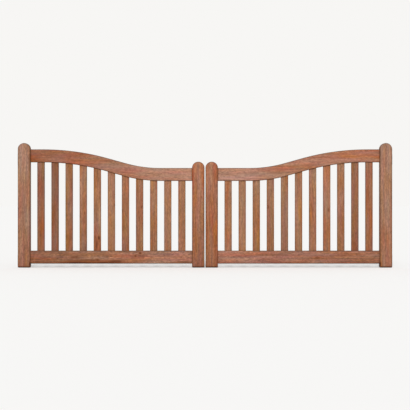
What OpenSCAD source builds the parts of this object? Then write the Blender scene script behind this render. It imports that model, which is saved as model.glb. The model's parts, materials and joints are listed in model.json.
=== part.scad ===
// Arched double garden gate: two mirrored leaves, hung on hook-and-band hinges.
// A leaf is a mortised frame of two round-topped stiles, a swept top rail and a straight
// bottom rail, filled with upright slats that are housed in both rails.
//
// +X runs along the gate, +Y points to its back, where the hinges are, and +Z is up.
// The origin is at the centre of the left lower hook plate, on the face that lies on the post.

/* [Leaf] */
// Width of one leaf, over its stiles
leaf_w = 1500; // [1250:10:1800]
// Height of the hanging stile
hanging_h = 1000; // [920:10:1200]
// Height of the meeting stile
meeting_h = 850; // [700:10:880]
// Gap between the two meeting stiles
meeting_gap = 8; // [6:1:20]

/* [Stiles] */
// Width of a stile
stile_w = 100; // [80:1:120]
// Thickness of a stile
stile_t = 56; // [44:1:60]
// Height of a stile above the top rail
horn_h = 50; // [50:1:70]
// Radius of the eased edges of stiles and rails
arris_r = 8; // [2:0.5:10]

/* [Rails] */
// Depth of a rail, square to its length
rail_h = 104; // [80:1:120]
// Thickness of a rail, which is flush with the stiles at the back
rail_t = 38; // [32:1:42]
// Height of the bottom rail above the foot of the stiles
foot_h = 30; // [20:1:60]

/* [Sweep of the top rail] */
// Level run beside the hanging stile
crown_run = 100; // [80:5:200]
// Level run beside the meeting stile
hollow_run = 255; // [150:5:330]
// Straight stretch between the two arcs
slope_run = 150; // [100:5:220]
// Radius of the crown arc, as a multiple of the hollow arc's
arc_ratio = 1.74; // [1:0.02:2]

/* [Mortise and tenon] */
// Length of a rail's tenon
tenon_l = 60; // [40:1:70]
// Thickness of a rail's tenon
tenon_t = 15; // [12:1:18]
// Shoulder above and below a tenon
shoulder_h = 14; // [10:1:20]
// Room round a tenon or a slat's end
joint_gap = 0.2; // [0.1:0.1:0.5]
// Room past the end of a tenon
tenon_end_gap = 2; // [1:0.5:4]

/* [Slats] */
// Number of slats in a leaf
slat_count = 11; // [8:1:12]
// Width of a slat
slat_w = 59; // [47:1:71]
// Thickness of a slat
slat_t = 20; // [16:1:22]
// Gap between a stile and the slat next to it
end_gap = 53; // [35:1:65]
// Depth that a slat is let into a rail
housing_d = 18; // [12:1:22]
// Radius of a slat's eased edges
slat_arris_r = 3; // [1:0.5:4]

/* [Hinge bands] */
// Length of a band, from the pin
band_l = 380; // [300:5:450]
// Height of a band and its eye
band_h = 40; // [34:1:48]
// Thickness of a band
band_t = 6; // [5:0.5:8]

/* [Hinge hooks] */
// Gap between a hanging stile and its post
side_gap = 9; // [9:1:20]
// From the post to the pin's axis
pin_x = 27; // [26:0.5:33]
// Radius of the bar that is bent into a hook and its pin
pin_r = 8; // [6.5:0.5:9]
// Radial room between the pin and the eye
pin_gap = 0.1; // [0.05:0.05:0.3]
// Height of the pin above the eye
pin_rise = 8; // [4:1:15]
// Radius of the bend, at the bar's centre line
bend_r = 14; // [12:0.5:16]
// Radius of the collar that carries the eye
collar_r = 11; // [10:0.5:12]
// Thickness of the collar
collar_h = 5; // [3:0.5:8]
// Room between the collar and the eye
seat_gap = 0.3; // [0.1:0.1:0.5]

/* [Hook plates] */
// Width of a plate
plate_w = 40; // [34:1:50]
// Height of a plate
plate_h = 90; // [76:1:108]
// Thickness of a plate
plate_t = 4; // [3:0.5:4]
// Height of a plate's centre above its bar
plate_rise = 15; // [0:1:20]
// Radius of a plate's corners
plate_corner_r = 6; // [3:0.5:8]
// Spacing of the screw holes across a plate
hole_span_y = 22; // [18:1:26]
// Spacing of the screw holes up a plate
hole_span_z = 66; // [54:1:74]
// Radius of a screw hole
hole_r = 3.25; // [2.5:0.25:4]

/* [Hidden] */
SIDES = ["left", "right"];
HINGES = ["lower", "upper"];
$fn = 48;
WOOD = "#a56c4e";
RAIL_WOOD = "#a97456";
SLAT_WOOD = "#9e6b4b";
STEEL = "#9aa0a3";
cut = 1; // how far a cut runs past a face

// Frame of a leaf: x from its hanging edge, y from its back face, z from its foot
inner_w = leaf_w - 2 * stile_w;
rail_y = -rail_t / 2;
stile_y = -stile_t / 2;
bottom_rail_z = foot_h + rail_h / 2;
crown_z = hanging_h - horn_h - rail_h / 2;
hollow_z = meeting_h - horn_h - rail_h / 2;
tenon_h = rail_h - 2 * shoulder_h;

// The top rail's centre line is level, an arc, a straight slope, an arc and level again.
// Its tangents meet, which fixes the sum of the two radii and the angle of the slope.
drop = crown_z - hollow_z;
sweep_run = inner_w - crown_run - hollow_run;
radii = (pow(sweep_run, 2) + pow(drop, 2) - pow(slope_run, 2)) / (2 * drop);
hollow_r = radii / (1 + arc_ratio);
crown_r = radii - hollow_r;
slope_a = atan2(sweep_run, radii - drop) - atan2(slope_run, radii);
slope_x = crown_run + crown_r * sin(slope_a);
slope_z = crown_z - crown_r * (1 - cos(slope_a));
hollow_x = inner_w - hollow_run;

// Slats
slat_pitch = (inner_w - 2 * end_gap - slat_w) / (slat_count - 1);
slat_foot_z = foot_h + rail_h - housing_d;

// Hinges: a band lies on the leaf's back face, which touches its eye's outside
eye_r = pin_r + pin_gap + band_t;
leaf_y = -eye_r;
hook_drop = band_h / 2 + seat_gap + collar_h + bend_r; // from a band down to its hook's bar
foot_z = hook_drop - plate_rise - bottom_rail_z;
mid_x = side_gap + leaf_w + meeting_gap / 2;

function slat_x(i) = end_gap + slat_w / 2 + (i - 1) * slat_pitch;
function band_z(level) = level == "lower" ? bottom_rail_z : crown_z;

// Height of the top rail's underside, x from the hanging stile
function under_z(x) =
    let (inside_r = crown_r - rail_h / 2, outside_r = hollow_r + rail_h / 2)
    x <= crown_run ? crown_z - rail_h / 2
    : x <= crown_run + inside_r * sin(slope_a) ? crown_z - crown_r + sqrt(pow(inside_r, 2) - pow(x - crown_run, 2))
    : x <= hollow_x - outside_r * sin(slope_a) ? slope_z - rail_h / 2 / cos(slope_a) - (x - slope_x) * tan(slope_a)
    : x <= hollow_x ? hollow_z + hollow_r - sqrt(pow(outside_r, 2) - pow(hollow_x - x, 2))
    : hollow_z - rail_h / 2;

// A slat's head stands above the underside at its higher edge
function slat_head_z(i) = under_z(slat_x(i) - slat_w / 2) + housing_d;

// Rectangle about the origin with round corners
module eased_rect(w, h, r) {
    square([w - 2 * r, h], center = true);
    square([w, h - 2 * r], center = true);
    for (x = [-1, 1], y = [-1, 1])
        translate([x * (w / 2 - r), y * (h / 2 - r)]) circle(r);
}

// Post outline with round lower corners, y up from its foot
module eased_foot(w, h, r) {
    translate([-w / 2 + r, 0]) square([w - 2 * r, h]);
    translate([-w / 2, r]) square([w, h - r]);
    for (x = [-1, 1])
        translate([x * (w / 2 - r), r]) circle(r);
}

// Stile with its foot at the origin's height, a half-round head and eased edges all round
module stile_blank(h) {
    head_z = h - stile_w / 2;
    intersection() {
        union() {
            linear_extrude(head_z) eased_rect(stile_w, stile_t, arris_r);
            translate([0, 0, head_z]) intersection() {
                rotate([90, 0, 0]) rotate_extrude() intersection() {
                    eased_rect(stile_w, stile_t, arris_r);
                    translate([0, -stile_t]) square([stile_w, 2 * stile_t]);
                }
                translate([-stile_w, -stile_t, 0]) cube([2 * stile_w, 2 * stile_t, stile_w]);
            }
        }
        rotate([90, 0, 0]) linear_extrude(2 * stile_t, center = true) eased_foot(stile_w, h + cut, arris_r);
        rotate([90, 0, 90]) linear_extrude(2 * stile_w, center = true) eased_foot(stile_t, h + cut, arris_r);
    }
}

// Mortise that runs in from x = 0 towards +X
module mortise() {
    translate([-cut, rail_y - tenon_t / 2 - joint_gap, -tenon_h / 2 - joint_gap])
        cube([tenon_l + tenon_end_gap + cut, tenon_t + 2 * joint_gap, tenon_h + 2 * joint_gap]);
}

module hanging_stile() {
    color(WOOD) difference() {
        translate([stile_w / 2, stile_y, 0]) stile_blank(hanging_h);
        for (z = [bottom_rail_z, crown_z])
            translate([stile_w, 0, z]) mirror([1, 0, 0]) mortise();
    }
}

module meeting_stile() {
    color(WOOD) difference() {
        translate([leaf_w - stile_w / 2, stile_y, 0]) stile_blank(meeting_h);
        for (z = [bottom_rail_z, hollow_z])
            translate([leaf_w - stile_w, 0, z]) mortise();
    }
}

// Straight stretch of rail from the origin along +X, about its centre line
module straight_rail(l) {
    rotate([90, 0, 90]) linear_extrude(l) eased_rect(rail_t, rail_h, arris_r);
}

// Frame at the end of a stretch that bends down from the origin over angle a
module at_bend_end(r, a) {
    translate([0, 0, -r]) rotate([0, a, 0]) translate([0, 0, r]) children();
}

// Stretch of rail that bends down from the origin over angle a, and what follows it.
// Planes square to the centre line trim it, so that it meets its neighbours exactly.
module bent_rail(r, a) {
    intersection() {
        translate([0, 0, -r]) rotate([90, 0, 0]) rotate([0, 0, 89 - a])
            rotate_extrude(angle = a + 2, $fn = 720) translate([r, 0]) eased_rect(rail_h, rail_t, arris_r);
        translate([0, -rail_t, -r]) cube([r, 2 * rail_t, 2 * r]);
        at_bend_end(r, a) translate([-r, -rail_t, -r]) cube([r, 2 * rail_t, 2 * r]);
    }
    at_bend_end(r, a) children();
}

module tenon() {
    translate([0, -tenon_t / 2, -tenon_h / 2]) cube([tenon_l, tenon_t, tenon_h]);
}

// A slat's cross-section, wider by the gap all round
module slat_section(gap = 0) {
    eased_rect(slat_w + 2 * gap, slat_t + 2 * gap, slat_arris_r);
}

module top_rail() {
    color(RAIL_WOOD) translate([stile_w, 0, 0]) {
        difference() {
            translate([0, rail_y, crown_z]) {
                straight_rail(crown_run);
                translate([crown_run, 0, 0]) bent_rail(crown_r, slope_a) {
                    straight_rail(slope_run);
                    translate([slope_run, 0, 0]) mirror([0, 0, 1])
                        bent_rail(hollow_r, slope_a) straight_rail(hollow_run + cut);
                }
            }
            translate([inner_w, -stile_t, 0]) cube([stile_w, 2 * stile_t, hanging_h]);
            for (i = [1 : slat_count])
                translate([slat_x(i), rail_y, hollow_z - rail_h])
                    linear_extrude(slat_head_z(i) + joint_gap - hollow_z + rail_h) slat_section(joint_gap);
        }
        translate([0, rail_y, crown_z]) mirror([1, 0, 0]) tenon();
        translate([inner_w, rail_y, hollow_z]) tenon();
    }
}

module bottom_rail() {
    color(RAIL_WOOD) translate([stile_w, 0, 0]) difference() {
        translate([0, rail_y, bottom_rail_z]) {
            straight_rail(inner_w);
            mirror([1, 0, 0]) tenon();
            translate([inner_w, 0, 0]) tenon();
        }
        for (i = [1 : slat_count])
            translate([slat_x(i), rail_y, slat_foot_z - joint_gap])
                linear_extrude(housing_d + joint_gap + cut) slat_section(joint_gap);
    }
}

module slat(i) {
    color(SLAT_WOOD) translate([stile_w + slat_x(i), rail_y, slat_foot_z])
        linear_extrude(slat_head_z(i) - slat_foot_z) slat_section();
}

// Flat band with a half-round end and a rolled eye, about the pin's axis at the band's mid-height
module band() {
    color(STEEL) difference() {
        union() {
            translate([0, -eye_r, 0]) rotate([-90, 0, 0]) linear_extrude(band_t) {
                translate([0, -band_h / 2]) square([band_l - band_h / 2, band_h]);
                translate([band_l - band_h / 2, 0]) circle(band_h / 2);
            }
            cylinder(h = band_h, r = eye_r, center = true);
        }
        cylinder(h = band_h + 2 * cut, r = pin_r + pin_gap, center = true);
    }
}

// Hook on its plate, about the pin's axis at the band's mid-height
module hook() {
    bar_z = -hook_drop;
    collar_z = -band_h / 2 - seat_gap - collar_h;
    color(STEEL) {
        translate([-pin_x, 0, bar_z + plate_rise]) difference() {
            rotate([90, 0, 90]) linear_extrude(plate_t) eased_rect(plate_w, plate_h, plate_corner_r);
            for (y = [-1, 1], z = [-1, 1])
                translate([-cut, y * hole_span_y / 2, z * hole_span_z / 2])
                    rotate([0, 90, 0]) cylinder(h = plate_t + 2 * cut, r = hole_r);
        }
        translate([plate_t - pin_x, 0, bar_z]) rotate([0, 90, 0])
            cylinder(h = pin_x - plate_t - bend_r, r = pin_r);
        translate([-bend_r, 0, bar_z + bend_r]) rotate([90, 0, 0]) rotate([0, 0, -90])
            rotate_extrude(angle = 90) translate([bend_r, 0]) circle(pin_r);
        translate([0, 0, collar_z]) cylinder(h = collar_h, r = collar_r);
        translate([0, 0, collar_z]) cylinder(h = collar_h + seat_gap + band_h + pin_rise, r = pin_r);
    }
}

// The right side is the left side mirrored about the middle of the gate
module on_side(side) {
    if (side == "left") children();
    else translate([2 * mid_x, 0, 0]) mirror([1, 0, 0]) children();
}

module in_leaf(side) {
    on_side(side) translate([side_gap, leaf_y, foot_z]) children();
}

module at_pin(side, level) {
    on_side(side) translate([pin_x, 0, foot_z + band_z(level)]) children();
}

for (side = SIDES) {
    in_leaf(side) hanging_stile();
    in_leaf(side) meeting_stile();
    in_leaf(side) top_rail();
    in_leaf(side) bottom_rail();
    for (i = [1 : slat_count])
        in_leaf(side) slat(i);
    for (level = HINGES) {
        at_pin(side, level) band();
        at_pin(side, level) hook();
    }
}
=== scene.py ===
# Arched double garden gate: finishes, fixings, floor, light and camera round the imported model.
# Everything is in metres in the model's own frame: x along the gate, y to its back, z up.
import json
import math
import random

import bmesh
import bpy
from mathutils import Matrix, Vector

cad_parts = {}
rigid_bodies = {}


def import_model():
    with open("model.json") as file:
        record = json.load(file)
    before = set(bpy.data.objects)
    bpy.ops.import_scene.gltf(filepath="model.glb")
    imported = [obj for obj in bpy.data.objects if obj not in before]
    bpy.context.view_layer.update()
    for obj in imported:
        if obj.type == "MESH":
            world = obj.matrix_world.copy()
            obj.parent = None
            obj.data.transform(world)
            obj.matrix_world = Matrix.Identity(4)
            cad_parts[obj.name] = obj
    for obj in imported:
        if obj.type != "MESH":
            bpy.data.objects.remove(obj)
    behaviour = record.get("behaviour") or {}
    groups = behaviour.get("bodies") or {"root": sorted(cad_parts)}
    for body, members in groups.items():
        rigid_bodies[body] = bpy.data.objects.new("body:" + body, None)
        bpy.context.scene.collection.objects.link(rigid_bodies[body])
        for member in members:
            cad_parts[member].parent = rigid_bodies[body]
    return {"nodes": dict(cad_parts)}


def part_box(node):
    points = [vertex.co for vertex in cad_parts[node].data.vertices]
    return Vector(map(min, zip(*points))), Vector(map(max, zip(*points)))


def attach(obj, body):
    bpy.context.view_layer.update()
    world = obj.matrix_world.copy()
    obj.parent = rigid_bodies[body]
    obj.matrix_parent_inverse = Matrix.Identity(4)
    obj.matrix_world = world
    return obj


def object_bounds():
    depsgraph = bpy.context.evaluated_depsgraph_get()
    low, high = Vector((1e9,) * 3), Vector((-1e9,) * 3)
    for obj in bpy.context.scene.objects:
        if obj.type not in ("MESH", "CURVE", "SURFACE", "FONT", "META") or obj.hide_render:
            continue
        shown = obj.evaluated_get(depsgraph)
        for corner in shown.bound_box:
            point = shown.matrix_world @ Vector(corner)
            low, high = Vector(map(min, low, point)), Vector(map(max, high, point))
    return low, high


mm = 0.001
colourA, colourB = 6, 7  # sockets of a Mix node that is set to colours
noiseSpan = (0.3, 0.7)  # most of a noise texture's values lie between these

for leftover in list(bpy.data.objects):
    bpy.data.objects.remove(leftover)
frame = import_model()
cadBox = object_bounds()
nodes = frame["nodes"]
sides = ("left", "right")
levels = ("lower", "upper")
slatCount = sum(name.startswith("left_slat_") for name in nodes)
print("frame loaded:", len(nodes), "nodes")


def linear(hexColour):  # sRGB hex to the linear colour that sockets hold
    channels = [int(hexColour[i:i + 2], 16) / 255 for i in (1, 3, 5)]
    curved = [c / 12.92 if c <= 0.04045 else ((c + 0.055) / 1.055) ** 2.4 for c in channels]
    return (*curved, 1.0)


def addNode(tree, kind, sockets=None, **settings):  # a socket takes a value, an output or a node
    node = tree.nodes.new("ShaderNode" + kind)
    for name, value in settings.items():
        setattr(node, name, value)
    for key, value in (sockets or {}).items():
        if isinstance(value, bpy.types.Node):  # it stands for its first output in use
            value = next(output for output in value.outputs if output.enabled)
        if isinstance(value, bpy.types.NodeSocket):
            tree.links.new(value, node.inputs[key])
        else:
            node.inputs[key].default_value = value
    return node


def newMaterial(name):
    material = bpy.data.materials.new(name)
    material.use_nodes = True
    material.node_tree.nodes.clear()
    return material, material.node_tree


def meshObject(name, mesh, material):
    data = bpy.data.meshes.new(name)
    mesh.to_mesh(data)
    mesh.free()
    data.materials.append(material)
    piece = bpy.data.objects.new(name, data)
    bpy.context.scene.collection.objects.link(piece)
    return piece


# Oiled hardwood, planed: warm streaks run along each board, and flecks and pores show as short
# dark dashes. Painted shade darkens eased edges, sides, tops, undersides, long edges, feet and
# corners, and greys upward faces; each board is also painted paler towards its lit end.
hardwood = {
    # The figure in layers: size across and along the grain in mm, noise detail, the part of the
    # noise that is used, and the values at its low and high ends
    "layers": {
        "drift": ((90, 700), 1, noiseSpan, (0.94, 1.05)),
        "streak": ((13, 520), 3, noiseSpan, (0.86, 1.11)),
        "ribbon": ((8, 90), 2, noiseSpan, (0.88, 1.11)),  # interlocked grain
        "mottle": ((9, 24), 1, noiseSpan, (0.84, 1.15)),
        "fibre": ((1.6, 80), 2, noiseSpan, (0.88, 1.09)),  # bundles: one is too fine to show
        "fleck": ((2.6, 22), 1, (0.34, 0.42), (0.70, 1)),
        "pore": ((0.9, 11), 1, (0.32, 0.39), (0.72, 1)),  # twice real width, so that they show
    },
    "growthNoise": ((120, 1500), 0),  # mm and detail of the swing whose contours are the rings
    "growthRings": (16, 0.92, 1.10),  # rings in one swing, and the values from edge to middle
    "wanderNoise": ((70, 1100), 1),
    "wanderReach": 20,  # mm that the grain moves
    "blushNoise": ((36, 280), 2),
    "blushHue": 0.012,  # how far hue swings to either side
    "blushOil": 0.13,  # how far saturation swings
    "shuffle": 9,  # m, so that no two boards share a figure
    "seedSteps": (7, 3),  # from board to board, and from leaf to leaf
    # Knots: radii are in half-sizes of the knot
    "knotSwerve": (0.8, 3),  # how far the grain flows round one, and the radius where that ends
    "knotRagged": 2,  # share of the ribbon figure in a knot's rim, which adds about 2 to radii
    "knotTones": (  # radii where halo and heart are full and gone, and their share of the depth
        ("#84481f", 2.9, 4.4, 0.8),
        ("#552a12", 2.7, 3.4, 1),
    ),
    # Painted shade: where each begins and is full, and the value that it leaves. The first four go
    # by the way that the surface faces, and the last, darkening in corners, by how shut in it is.
    "paintedShades": {
        "arris": (0.02, 0.2, 0.7),
        "side": (0.9, 0.3, 0.86),
        "top": (0.35, 0.95, 0.72),
        "under": (-0.2, -0.8, 0.85),
        "corner": (0.1, 0.5, 0.5),
    },
    "cornerReach": 10,  # mm
    "cornerRays": 8,
    "cornerShadeHeights": (0.1, 0.45),  # m, painted corner shade is none below there and full above there
    # Painted shade on long edges and feet: full as far in as there, none from there, in mm, and the
    # value
    "edgeBand": {"stile": (11, 18, 0.89), "slat": (5, 11, 0.89)},
    "footShade": {"stile": (9, 15, 0.5), "bottom_rail": (6, 24, 0.84)},
    "shadeSaturation": (0.4, 1.12),  # the painted shade's value at which saturation peaks, and the saturation
    # A grey mixed into upward faces: painted shade against the light from above
    "upwardShadeGrey": "#5b5049",
    "upwardShade": (0.25, 0.8, 0.45),  # upward normal where it begins and is full, and its share
    "roughness": ((0.8, 0.56), (1.2, 0.72)),  # streak's value and roughness, dark and pale
    "specular": 0.3,  # a thin oil leaves most of the face matt
    "ior": 1.45,
    "bump": (0.6, 0.25),  # strength, and mm
}

# Boards differ from tree to tree. Each is also painted paler towards its head, or on a rail towards
# the meeting stile: painted light, brighter at the top and the middle of the gate. The colours are
# at the foot and the head of an upright, or at a rail's ends by the hanging and the meeting stile;
# the number is how strong the figure is.
boards = {
    "rosy": ("#9a664a", "#a27860", 1.2),
    "ruddy": ("#945a3c", "#a66e52", 1.2),
    "swept": ("#8d4d2c", "#b08671", 1.1),
    "sweptPale": ("#a26545", "#ad7e68", 1.1),
    "low": ("#8e5a3e", "#a26f58", 1.6),
    "lowPale": ("#935e43", "#a37058", 1.4),
    "deep": ("#8d583a", "#926042", 1),
    "dusky": ("#805138", "#85553b", 0.8),
    "brown": ("#926141", "#976647", 1),
    "tawny": ("#966344", "#9e6b4a", 1.1),
    "light": ("#9b6a49", "#a06d4c", 1),
    "warm": ("#935b3d", "#9a6446", 1),
    "umber": ("#88583c", "#935f3f", 1),
    "fair": ("#996548", "#a87356", 1),
}
boardsOf = {
    "left": {
        "hanging_stile": "rosy", "meeting_stile": "ruddy", "top_rail": "swept",
        "bottom_rail": "low",
        "slats": ("deep", "dusky", "brown", "tawny", "tawny", "light", "tawny", "brown", "tawny",
                  "light", "light"),
    },
    "right": {
        "hanging_stile": "rosy", "meeting_stile": "ruddy", "top_rail": "sweptPale",
        "bottom_rail": "lowPale",
        "slats": ("warm", "umber", "tawny", "fair", "tawny", "light", "brown", "brown", "tawny",
                  "light", "light"),
    },
}

# Knots and resin streaks, and a painted shade spot on each hanging stile: the middle in mm from
# the piece's lower corner on the hanging side, the half-size in mm, and how deep the tone is
knotsAndShadeSpots = {
    "left_slat_5": (((42, 121), (7, 14), 1), ((26, 62), (5, 32), 0.9), ((14, 128), (4, 10), 0.6)),
    "left_bottom_rail": (
        ((412, 52), (26, 8), 0.5), ((470, 6), (130, 9), 1), ((690, 5), (110, 9), 0.9),
        ((750, 19), (52, 6), 0.8), ((525, 27), (110, 6), 0.4), ((600, 30), (9, 7), 0.7),
        ((942, 85), (9, 6), 0.8), ((904, 62), (7, 6), 0.8),
    ),
    "left_slat_4": (((42, 321), (5, 12), 0.5),),
    "left_slat_6": (((55, 386), (3, 8), 0.6),),
    "left_slat_8": (((47, 370), (4, 10), 0.55),),
    # Painted shade: the dark spot on the inner side below the bottom rail
    "left_hanging_stile": (((100, 28), (7, 15), 1),),
    "left_meeting_stile": (((73, 566), (4, 7), 0.5),),
    # Painted shade: the dark spot on the inner side below the bottom rail
    "right_hanging_stile": (((100, 28), (7, 15), 1),),
    "right_slat_4": (((15, 345), (5, 12), 0.5),),
    "right_slat_8": (((47, 370), (4, 10), 0.55),),
    "right_bottom_rail": (((560, 48), (18, 6), 0.4),),
}


def grainScale(size):  # of a noise whose size is in mm across and along the grain
    across, along = size
    return (1 / (across * mm), 1 / (across * mm), 1 / (along * mm))


def hangingSide(node):  # its x, and the sign of x from there towards the meeting stile
    low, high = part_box(node)
    return (low.x, 1) if node.startswith("left") else (high.x, -1)


def flowGrain(tree, node, grain, lined, draw):  # the grain wanders, and flows round each knot
    look = hardwood
    shift = [draw.uniform(-look["shuffle"], look["shuffle"]) for axis in "xyz"]
    own = addNode(tree, "VectorMath", {0: lined, 1: shift}, operation="ADD")
    size, detail = look["wanderNoise"]
    drawn = addNode(tree, "VectorMath", {0: own, 1: grainScale(size)}, operation="MULTIPLY")
    wander = addNode(tree, "TexNoise", {"Vector": drawn, "Scale": 1, "Detail": detail})
    centred = addNode(tree, "VectorMath", {0: wander.outputs["Color"], 1: (0.5, 0.5, 0.5)},
                      operation="SUBTRACT")
    reach = look["wanderReach"] * mm
    grainPlace = addNode(tree, "VectorMath", {0: centred, 1: (reach, reach, 0), 2: own},
                         operation="MULTIPLY_ADD")

    hangingX, inward = hangingSide(node)
    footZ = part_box(node)[0].z
    swerve, swerveEnd = look["knotSwerve"]
    rings = []
    for (fromHanging, up), (halfX, halfZ), depth in knotsAndShadeSpots.get(node, ()):
        middle = (hangingX + inward * fromHanging * mm, 0, footZ + up * mm)
        span = (1 / (halfX * mm), 0, 1 / (halfZ * mm))
        if grain == "x":
            middle, span = middle[::-1], span[::-1]
        offset = addNode(tree, "VectorMath", {0: lined, 1: middle}, operation="SUBTRACT")
        sized = addNode(tree, "VectorMath", {0: offset, 1: span}, operation="MULTIPLY")
        ring = addNode(tree, "VectorMath", {0: sized}, operation="LENGTH").outputs["Value"]
        rings.append((ring, depth))
        pull = addNode(tree, "MapRange", {"Value": ring, "From Min": 0, "From Max": swerveEnd,
                                          "To Min": -swerve, "To Max": 0})
        aside = addNode(tree, "VectorMath", {0: offset, 1: (1, 0, 0)}, operation="MULTIPLY")
        grainPlace = addNode(tree, "VectorMath", {0: aside, 1: pull, 2: grainPlace},
                             operation="MULTIPLY_ADD")
    return grainPlace, rings


def drawFigure(tree, grainPlace):  # one value from all of the figure, and each layer by itself
    look = hardwood
    # Growth rings are the contours of one long slow swing: arches, as on a plain-sawn board
    size, detail = look["growthNoise"]
    ringCount, ringEdge, ringMiddle = look["growthRings"]
    drawn = addNode(tree, "VectorMath", {0: grainPlace, 1: grainScale(size)}, operation="MULTIPLY")
    swing = addNode(tree, "TexNoise", {"Vector": drawn, "Scale": 1, "Detail": detail})
    ringPlace = addNode(tree, "Math", {0: swing, 1: ringCount}, operation="MULTIPLY")
    halfRing = 0.5
    ringWave = addNode(tree, "Math", {0: ringPlace, 1: halfRing}, operation="PINGPONG")
    value = addNode(tree, "MapRange", {"Value": ringWave, "From Min": 0, "From Max": halfRing,
                                       "To Min": ringEdge, "To Max": ringMiddle})
    layers = {}
    for layer, (size, detail, used, outcome) in look["layers"].items():
        drawn = addNode(tree, "VectorMath", {0: grainPlace, 1: grainScale(size)},
                        operation="MULTIPLY")
        noise = addNode(tree, "TexNoise", {"Vector": drawn, "Scale": 1, "Detail": detail})
        layers[layer] = addNode(tree, "MapRange", {"Value": noise,
                                                   "From Min": used[0], "From Max": used[1],
                                                   "To Min": outcome[0], "To Max": outcome[1]})
        value = addNode(tree, "Math", {0: value, 1: layers[layer]}, operation="MULTIPLY")
    return value, layers


def toneBoard(tree, node, grain, board, along, grainPlace, value):  # the colour with its painted light, before the painted shade
    look = hardwood
    footTone, headTone, strength = boards[board]
    low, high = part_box(node)
    hangingX, inward = hangingSide(node)
    if grain == "z":
        start, end = low.z, high.z
    else:
        start, end = hangingX, hangingX + inward * (high.x - low.x)
    # Painted light: each board runs from its foot tone to its paler head tone
    length = addNode(tree, "MapRange", {"Value": along, "From Min": start, "From Max": end})
    body = addNode(tree, "Mix", {0: length, colourA: linear(footTone), colourB: linear(headTone)},
                   data_type="RGBA")
    size, detail = look["blushNoise"]
    drawn = addNode(tree, "VectorMath", {0: grainPlace, 1: grainScale(size)}, operation="MULTIPLY")
    clouds = addNode(tree, "TexNoise", {"Vector": drawn, "Scale": 1, "Detail": detail})
    blush = addNode(tree, "SeparateColor", {0: clouds.outputs["Color"]}).outputs
    swings = []  # hue rests at 0.5 and saturation at 1
    for channel, rest, swing in (("Red", 0.5, look["blushHue"]), ("Green", 1, look["blushOil"])):
        swings.append(addNode(tree, "MapRange", {"Value": blush[channel],
                                                 "From Min": noiseSpan[0], "From Max": noiseSpan[1],
                                                 "To Min": rest - swing, "To Max": rest + swing}))
    hue, oil = swings
    figure = addNode(tree, "Math", {0: value, 1: strength}, operation="POWER")
    return addNode(tree, "HueSaturation", {"Hue": hue, "Saturation": oil, "Value": figure,
                                           "Color": body})


def darkenKnotsAndShadeSpots(tree, colour, rings, ribbon):
    look = hardwood
    for ring, depth in rings:
        ragged = addNode(tree, "Math", {0: ribbon, 1: look["knotRagged"], 2: ring},
                         operation="MULTIPLY_ADD")
        for tone, full, gone, share in look["knotTones"]:
            spread = addNode(tree, "MapRange", {"Value": ragged, "From Min": full, "From Max": gone,
                                                "To Min": depth * share, "To Max": 0})
            colour = addNode(tree, "Mix", {0: spread, colourA: colour, colourB: linear(tone)},
                             data_type="RGBA")
    return colour


def paintShadeOnWood(tree, node, place, axes, colour):
    look = hardwood
    low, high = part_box(node)
    # Painted shade by the way each surface faces: eased edges, sides, tops and undersides
    # Squared, the normal's y is 1 on a broad face and 0 on a side; times what it lacks from 1, it
    # is highest on the eased edge between them
    facing = addNode(tree, "SeparateXYZ", {0: place["Normal"]}).outputs
    broad = addNode(tree, "Math", {0: facing["Y"], 1: facing["Y"]}, operation="MULTIPLY")
    turned = addNode(tree, "Math", {0: 1.0, 1: broad}, operation="SUBTRACT")
    eased = addNode(tree, "Math", {0: broad, 1: turned}, operation="MULTIPLY")
    # Painted shade in corners, where ambient occlusion finds the surface shut in; none near the
    # bottom
    corner = addNode(tree, "AmbientOcclusion", {"Distance": look["cornerReach"] * mm},
                     samples=look["cornerRays"])
    shut = addNode(tree, "Math", {0: 1.0, 1: corner.outputs["AO"]}, operation="SUBTRACT")
    cornerShadeStart, cornerShadeFull = look["cornerShadeHeights"]
    cornerShadeShare = addNode(tree, "MapRange", {"Value": axes["Z"], "From Min": cornerShadeStart, "From Max": cornerShadeFull,
                                      "To Min": 0, "To Max": 1})
    cornerShade = addNode(tree, "Math", {0: shut, 1: cornerShadeShare}, operation="MULTIPLY")
    amounts = {"arris": eased, "side": broad, "top": facing["Z"], "under": facing["Z"],
               "corner": cornerShade}
    paintedShades = [(amounts[shadeKind], *numbers) for shadeKind, numbers in look["paintedShades"].items()]
    # Painted shade along the long edges of stiles and slats, at the stiles' feet and the bottom
    # rail's lower edge
    middleX, halfWidth = (low.x + high.x) / 2, (high.x - low.x) / 2
    offset = addNode(tree, "Math", {0: axes["X"], 1: middleX}, operation="SUBTRACT")
    aside = addNode(tree, "Math", {0: offset}, operation="ABSOLUTE")
    paintedShades += [(aside, halfWidth - clear * mm, halfWidth - shadedWithin * mm, least)
               for part, (shadedWithin, clear, least) in look["edgeBand"].items() if part in node]
    paintedShades += [(axes["Z"], low.z + clear * mm, low.z + shadedWithin * mm, least)
               for part, (shadedWithin, clear, least) in look["footShade"].items() if part in node]
    # Each mark lowers the colour's value as painted shade, and saturation rises where it is darkest
    darkening = 1.0
    for amount, begins, full, least in paintedShades:
        share = addNode(tree, "MapRange", {"Value": amount, "From Min": begins, "From Max": full,
                                           "To Min": 1, "To Max": least})
        darkening = addNode(tree, "Math", {0: darkening, 1: share}, operation="MULTIPLY")
    darkest, mostSaturation = look["shadeSaturation"]
    shadeSaturated = addNode(tree, "MapRange", {"Value": darkening, "From Min": darkest, "From Max": 1,
                                        "To Min": mostSaturation, "To Max": 1})
    shadedColour = addNode(tree, "HueSaturation", {"Saturation": shadeSaturated, "Value": darkening,
                                              "Color": colour})
    # Painted grey shade on upward faces, against the light from above
    begins, full, most = look["upwardShade"]
    upwardShadeShare = addNode(tree, "MapRange", {"Value": facing["Z"], "From Min": begins, "From Max": full,
                                        "To Min": 0, "To Max": most})
    return addNode(tree, "Mix", {0: upwardShadeShare, colourA: shadedColour, colourB: linear(look["upwardShadeGrey"])},
                   data_type="RGBA")


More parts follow.
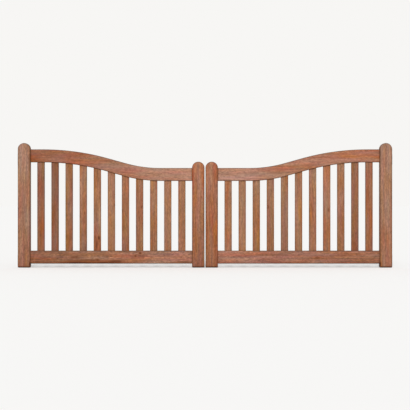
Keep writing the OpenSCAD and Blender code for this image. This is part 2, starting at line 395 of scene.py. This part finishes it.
def hardwoodMaterial(node, grain, board, seed):
    look = hardwood
    material, tree = newMaterial("oiled red hardwood " + node)
    place = addNode(tree, "TexCoord").outputs
    axes = addNode(tree, "SeparateXYZ", {0: place["Object"]}).outputs
    across, along = (axes["X"], axes["Z"]) if grain == "z" else (axes["Z"], axes["X"])
    lined = addNode(tree, "CombineXYZ", {"X": across, "Y": axes["Y"], "Z": along})
    grainPlace, rings = flowGrain(tree, node, grain, lined, random.Random(seed))
    value, layers = drawFigure(tree, grainPlace)
    colour = toneBoard(tree, node, grain, board, along, grainPlace, value)
    colour = darkenKnotsAndShadeSpots(tree, colour, rings, layers["ribbon"])
    colour = paintShadeOnWood(tree, node, place, axes, colour)

    (dark, darkRough), (pale, paleRough) = look["roughness"]
    roughness = addNode(tree, "MapRange", {"Value": layers["streak"],
                                           "From Min": dark, "From Max": pale,
                                           "To Min": darkRough, "To Max": paleRough})
    relief = addNode(tree, "Math", {0: layers["pore"], 1: layers["fibre"]}, operation="ADD")
    strength, height = look["bump"]
    bump = addNode(tree, "Bump", {"Height": relief, "Strength": strength, "Distance": height * mm})
    shader = addNode(tree, "BsdfPrincipled", {"Base Color": colour, "Roughness": roughness,
                                              "Normal": bump, "IOR": look["ior"],
                                              "Specular IOR Level": look["specular"]})
    addNode(tree, "OutputMaterial", {"Surface": shader})
    return material


def dressWood(side):
    chosen = dict(boardsOf[side])
    slats = chosen.pop("slats")
    chosen.update({"slat_" + str(i + 1): slats[i % len(slats)] for i in range(slatCount)})
    boardStep, leafStep = hardwood["seedSteps"]
    for number, (piece, board) in enumerate(chosen.items()):
        node = side + "_" + piece
        grain = "x" if piece.endswith("rail") else "z"
        seed = number * boardStep + sides.index(side) * leafStep
        nodes[node].material_slots[0].material = hardwoodMaterial(node, grain, board, seed)


for side in sides:
    dressWood(side)
print("wood:", slatCount, "slats and four frame pieces a leaf")

# Hot-dip galvanised mild steel: a dull pale grey metal with faint crystals, rougher where the
# zinc ran thick.
galvanised = {
    "colour": "#c3c7c8",
    "dark": "#9da3a5",
    "crystal": 9,  # mm
    "cloud": (40, 4),  # mm and noise detail
    "roughness": (0.38, 0.56),
    "bump": (0.3, 0.2),  # strength, and mm
}
# Bright zinc plate on the screws: smoother, lighter and slightly warm.
zincPlate = {
    "colour": "#cccbc4",
    "dark": "#aaa89f",
    "crystal": 2,
    "cloud": (12, 4),
    "roughness": (0.26, 0.40),
    "bump": (0.3, 0.2),
}


def zincMaterial(name, look):
    material, tree = newMaterial(name)
    place = addNode(tree, "TexCoord").outputs["Object"]
    crystals = addNode(tree, "TexVoronoi", {"Vector": place, "Scale": 1 / (look["crystal"] * mm)})
    size, detail = look["cloud"]
    cloud = addNode(tree, "TexNoise", {"Vector": place, "Scale": 1 / (size * mm), "Detail": detail})
    shade = addNode(tree, "SeparateColor", {0: crystals.outputs["Color"]})
    blend = addNode(tree, "Math", {0: shade, 1: cloud}, operation="MULTIPLY")
    tint = addNode(tree, "Mix", {0: blend, colourA: linear(look["colour"]),
                                 colourB: linear(look["dark"])}, data_type="RGBA")
    smooth, rough = look["roughness"]
    dull = addNode(tree, "MapRange", {"Value": cloud,
                                      "From Min": noiseSpan[0], "From Max": noiseSpan[1],
                                      "To Min": smooth, "To Max": rough})
    strength, height = look["bump"]
    bump = addNode(tree, "Bump", {"Height": cloud, "Strength": strength, "Distance": height * mm})
    shader = addNode(tree, "BsdfPrincipled", {"Base Color": tint, "Roughness": dull,
                                              "Normal": bump, "Metallic": 1.0})
    addNode(tree, "OutputMaterial", {"Surface": shader})
    return material


galvanisedSteel = zincMaterial("hot-dip galvanised steel", galvanised)
for name in nodes:
    if name.endswith(("_band", "_hook")):
        nodes[name].material_slots[0].material = galvanisedSteel
print("steel: bands and hooks")

coachScrew = {  # mm
    "fromPin": (35, 132, 245, 352),  # along the band
    "headSides": 6, "headAcross": 17, "headTall": 7, "headChamfer": 1.2,
    "washerSides": 40, "washerRadius": 12, "washerThick": 2, "washerEase": 0.5,
}


def addPrism(mesh, place, radius, tall, segments, chamfer):  # it stands on place's z = 0
    made = bmesh.ops.create_cone(mesh, cap_ends=True, segments=segments, radius1=radius,
                                 radius2=radius, depth=tall,
                                 matrix=Matrix.Translation((0, 0, tall / 2)))
    edges = dict.fromkeys(edge for vert in made["verts"] for edge in vert.link_edges)
    top = [edge for edge in edges if all(vert.co.z > tall / 2 for vert in edge.verts)]
    cut = bmesh.ops.bevel(mesh, geom=top, offset=chamfer, segments=2, profile=0.6,
                          affect="EDGES")
    corners = {vert for vert in made["verts"] if vert.is_valid} | set(cut["verts"])
    bmesh.ops.transform(mesh, matrix=place, verts=list(corners))


def bandScrews(side, level, material):
    look = coachScrew
    band = side + "_" + level + "_band"
    low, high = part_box(band)
    eyeRadius = (high.y - low.y) / 2
    eyeX, inward = hangingSide(band)
    pinX = eyeX + inward * eyeRadius
    middleX = (low.x + high.x) / 2
    corners = nodes[band].data.vertices
    backFace = max(v.co.y for v in corners if (v.co.x - middleX) * inward > 0)
    headRadius = look["headAcross"] / 2 / math.cos(math.pi / look["headSides"])
    draw = random.Random(band)
    mesh = bmesh.new()
    for distance in look["fromPin"]:
        spot = Vector((pinX + inward * distance * mm, backFace, (low.z + high.z) / 2))
        place = Matrix.Translation(spot) @ Matrix.Rotation(math.radians(-90), 4, "X")  # z to back
        turned = Matrix.Rotation(draw.uniform(0, math.tau), 4, "Z")
        lifted = Matrix.Translation((0, 0, look["washerThick"] * mm))
        addPrism(mesh, place, look["washerRadius"] * mm, look["washerThick"] * mm,
                 look["washerSides"], look["washerEase"] * mm)
        addPrism(mesh, place @ lifted @ turned, headRadius * mm, look["headTall"] * mm,
                 look["headSides"], look["headChamfer"] * mm)
    piece = meshObject(side + "_" + level + "_band_screws", mesh, material)
    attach(piece, side + "_leaf")


zincPlated = zincMaterial("zinc plated steel", zincPlate)
for side in sides:
    for level in levels:
        bandScrews(side, level, zincPlated)
print("fixings: coach screws through the bands")

studio = {
    "backdrop": "#f7f6f4",
    "ambient": 0.54,  # strength of the light from all round
    "floorAlbedo": "#f7f6f4",
    "floorGlow": 0.3,  # share of the floor, as it is seen, that no shadow takes away
    "floorReach": 400,  # m
    "floorGap": 2,  # mm under the leaves
}
keyLight = {
    "strength": 1.95,  # W/m2
    "elevation": 44,  # degrees, as the next two
    "azimuth": -4,
    "softness": 16,
}
lensSet = {
    "distance": 8.5,  # m before the leaves
    "height": 0.502,  # m above their feet
    "frameWidth": 3.291,  # m of the gate's own plane that the view takes in
    "sensor": 36.0,  # mm
}
midX = (cadBox[0].x + cadBox[1].x) / 2
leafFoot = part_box("left_hanging_stile")[0]


def seenRays(tree):  # 1 for rays that show the backdrop: to the eye, in a gloss or through glass
    path = addNode(tree, "LightPath").outputs
    pair = addNode(tree, "Math", {0: path["Is Camera Ray"], 1: path["Is Glossy Ray"]},
                   operation="MAXIMUM")
    return addNode(tree, "Math", {0: pair, 1: path["Is Transmission Ray"]}, operation="MAXIMUM")


def makeWorld():
    world = bpy.data.worlds.new("studio")
    bpy.context.scene.world = world
    world.use_nodes = True
    tree = world.node_tree
    tree.nodes.clear()
    soft = addNode(tree, "Background", {"Color": (1, 1, 1, 1), "Strength": studio["ambient"]})
    seen = addNode(tree, "Background", {"Color": linear(studio["backdrop"]), "Strength": 1.0})
    both = addNode(tree, "MixShader", {0: seenRays(tree), 1: soft, 2: seen})
    addNode(tree, "OutputWorld", {"Surface": both})


def makeFloor():
    mesh = bmesh.new()
    reach = studio["floorReach"]
    floorZ = leafFoot.z - studio["floorGap"] * mm
    corners = ((-1, -1), (1, -1), (1, 1), (-1, 1))
    mesh.faces.new([mesh.verts.new((midX + x * reach, y * reach, floorZ)) for x, y in corners])
    material, tree = newMaterial("painted studio floor")
    matt = addNode(tree, "BsdfDiffuse", {"Color": linear(studio["floorAlbedo"])})
    glow = addNode(tree, "Emission", {"Color": (1, 1, 1, 1), "Strength": 1.0})
    share = addNode(tree, "Math", {0: seenRays(tree), 1: studio["floorGlow"]},
                    operation="MULTIPLY")
    both = addNode(tree, "MixShader", {0: share, 1: matt, 2: glow})
    addNode(tree, "OutputMaterial", {"Surface": both})
    meshObject("floor", mesh, material)


def makeKeyLight():
    lamp = bpy.data.lights.new("key", "SUN")
    lamp.energy = keyLight["strength"]
    lamp.angle = math.radians(keyLight["softness"])
    key = bpy.data.objects.new("key", lamp)
    tilt, turn = math.radians(90 - keyLight["elevation"]), math.radians(keyLight["azimuth"])
    key.rotation_euler = (tilt, 0, turn)
    bpy.context.scene.collection.objects.link(key)


def makeCamera():
    lens = bpy.data.cameras.new("camera")
    lens.sensor_width = lensSet["sensor"]
    lens.lens = lensSet["sensor"] * lensSet["distance"] / lensSet["frameWidth"]
    lens.clip_end = 2 * studio["floorReach"]
    camera = bpy.data.objects.new("camera", lens)
    camera.location = (midX, leafFoot.y - lensSet["distance"], leafFoot.z + lensSet["height"])
    camera.rotation_euler = (math.radians(90), 0, 0)
    bpy.context.scene.collection.objects.link(camera)
    bpy.context.scene.camera = camera


makeWorld()
makeFloor()
makeKeyLight()
makeCamera()
bpy.context.scene.view_settings.view_transform = "Standard"
print("studio: floor, backdrop, light and camera")
